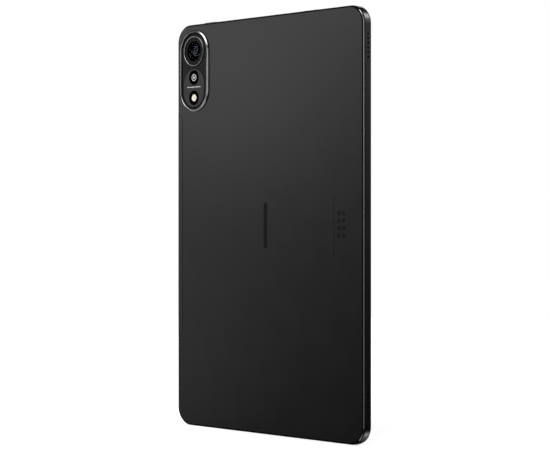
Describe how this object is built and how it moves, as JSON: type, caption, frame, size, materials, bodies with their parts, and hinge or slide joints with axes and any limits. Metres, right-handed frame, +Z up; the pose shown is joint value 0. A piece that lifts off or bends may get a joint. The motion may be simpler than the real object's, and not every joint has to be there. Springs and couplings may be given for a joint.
{
  "type": "tablet computer",
  "caption": "Slim slate tablet with a flat metal back, squared sides, a raised pill-shaped rear camera island, speaker holes, side buttons and a card tray.",
  "frame": {"origin": "middle of the bottom short edge, at half the slab's thickness", "axes": "+Z up along the long edge, +Y out of the back, +X across the width towards the camera island's side; the screen faces -Y"},
  "size_m": [0.1784, 0.0088, 0.2764],
  "materials": {
    "anodised_frame": "fine blasted and anodised, dark grey, with polished chamfers",
    "anodised_cover": "fine blasted and anodised, dark grey",
    "antenna_plastic": "fine texture, dark grey",
    "island_metal": "satin wall with a polished ridge",
    "island_glass": "gloss black, back-printed",
    "plateau_metal": "brushed, dark grey",
    "ring_metal": "turned and polished",
    "lens_glass": "coated lens glass",
    "window_black": "gloss black",
    "led_lens": "clear over warm white phosphor",
    "screen_glass": "gloss, screen off",
    "black_print": "ink",
    "lcd_glass": "dark panel glass",
    "white_plastic": "diffuse white",
    "black_foam": "closed-cell foam tape",
    "graphite": "graphite film",
    "circuit_board": "solder mask",
    "flex_film": "polyimide film",
    "plain_aluminium": "mill finish",
    "screw_steel": "plated steel",
    "shield_steel": "tinned sheet",
    "battery_pouch": "laminated foil pouch",
    "white_tape": "pull tape",
    "chip_black": "moulded black",
    "module_black": "moulded black",
    "connector_plastic": "moulded",
    "sensor_silicon": "silicon under glass",
    "speaker_metal": "plated steel cup",
    "mesh_black": "fine dust mesh",
    "contact_gold": "gold flash",
    "red_rubber": "silicone"
  },
  "bodies": {
    "housing": {"side_frame": "anodised_frame", "rear_cover": "anodised_cover", "rear_adhesive": "black_foam", "antenna_window": "antenna_plastic", "heat_spreader": "graphite", "cover_glass": "screen_glass", "display_gasket": "black_foam", "bezel_print": "black_print", "lcd_panel": "lcd_glass", "backlight_unit": "white_plastic", "display_driver_board": "circuit_board", "display_flex": "flex_film", "mid_plate": "plain_aluminium", "mid_plate_screws": "screw_steel", "battery_cell_left": "battery_pouch", "battery_cell_right": "battery_pouch", "battery_tape": "white_tape", "battery_board": "circuit_board", "battery_wiring": "flex_film", "mainboard": "circuit_board", "board_screws": "screw_steel", "processor": "chip_black", "board_chips": "chip_black", "shield_cans": "shield_steel", "board_connectors": "connector_plastic", "sim_socket": "shield_steel", "camera_rim": "island_metal", "camera_window": "island_glass", "camera_plateau": "plateau_metal", "camera_bracket": "plain_aluminium", "lens_ring": "ring_metal", "lens_cover": "lens_glass", "lens_baffle": "chip_black", "camera_module": "module_black", "image_sensor": "sensor_silicon", "sensor_window": "window_black", "flash_window": "window_black", "flash_led": "led_lens", "flash_board": "circuit_board", "front_camera": "module_black", "light_sensor": "sensor_silicon", "speaker_box_top": "module_black", "speaker_box_bottom": "module_black", "speaker_drivers": "speaker_metal", "speaker_meshes": "mesh_black", "usb_board": "circuit_board", "usb_socket": "shield_steel", "usb_tongue": "chip_black", "main_flex": "flex_film", "button_switches": "contact_gold", "button_brackets": "plain_aluminium", "microphones": "contact_gold", "antenna_film": "flex_film"},
    "power_button": {"power_button": "anodised_frame"},
    "volume_rocker": {"volume_rocker": "anodised_frame"},
    "card_tray": {"sim_tray": "anodised_frame", "tray_seal": "red_rubber"},
    "eject_rod": {"eject_rod": "screw_steel"},
    "focus_barrel": {"lens_barrel": "module_black", "lens_elements": "lens_glass"}
  },
  "joints": [
    {"name": "power_press", "type": "slide", "parent": "housing", "child": "power_button", "axis": [0, 0, -1], "range_m": [0, 0.00025], "stiffness_N_per_m": 2000, "springref_m": -0.0002},
    {"name": "volume_rock", "type": "hinge", "parent": "housing", "child": "volume_rocker", "pos_m": [0.0869, 0, 0.23], "axis": [0, 1, 0], "range_deg": [-1.2, 1.2], "stiffness_Nm_per_rad": 0.4},
    {"name": "tray_slide", "type": "slide", "parent": "housing", "child": "card_tray", "axis": [0, 0, 1], "range_m": [0, 0.02]},
    {"name": "eject_push", "type": "slide", "parent": "housing", "child": "eject_rod", "axis": [0, 0, -1], "range_m": [0, 0.0012], "stiffness_N_per_m": 400, "springref_m": -0.0005},
    {"name": "focus_slide", "type": "slide", "parent": "housing", "child": "focus_barrel", "axis": [0, 1, 0], "range_m": [0, 0.0003], "stiffness_N_per_m": 500, "springref_m": -0.00005}
  ]
}
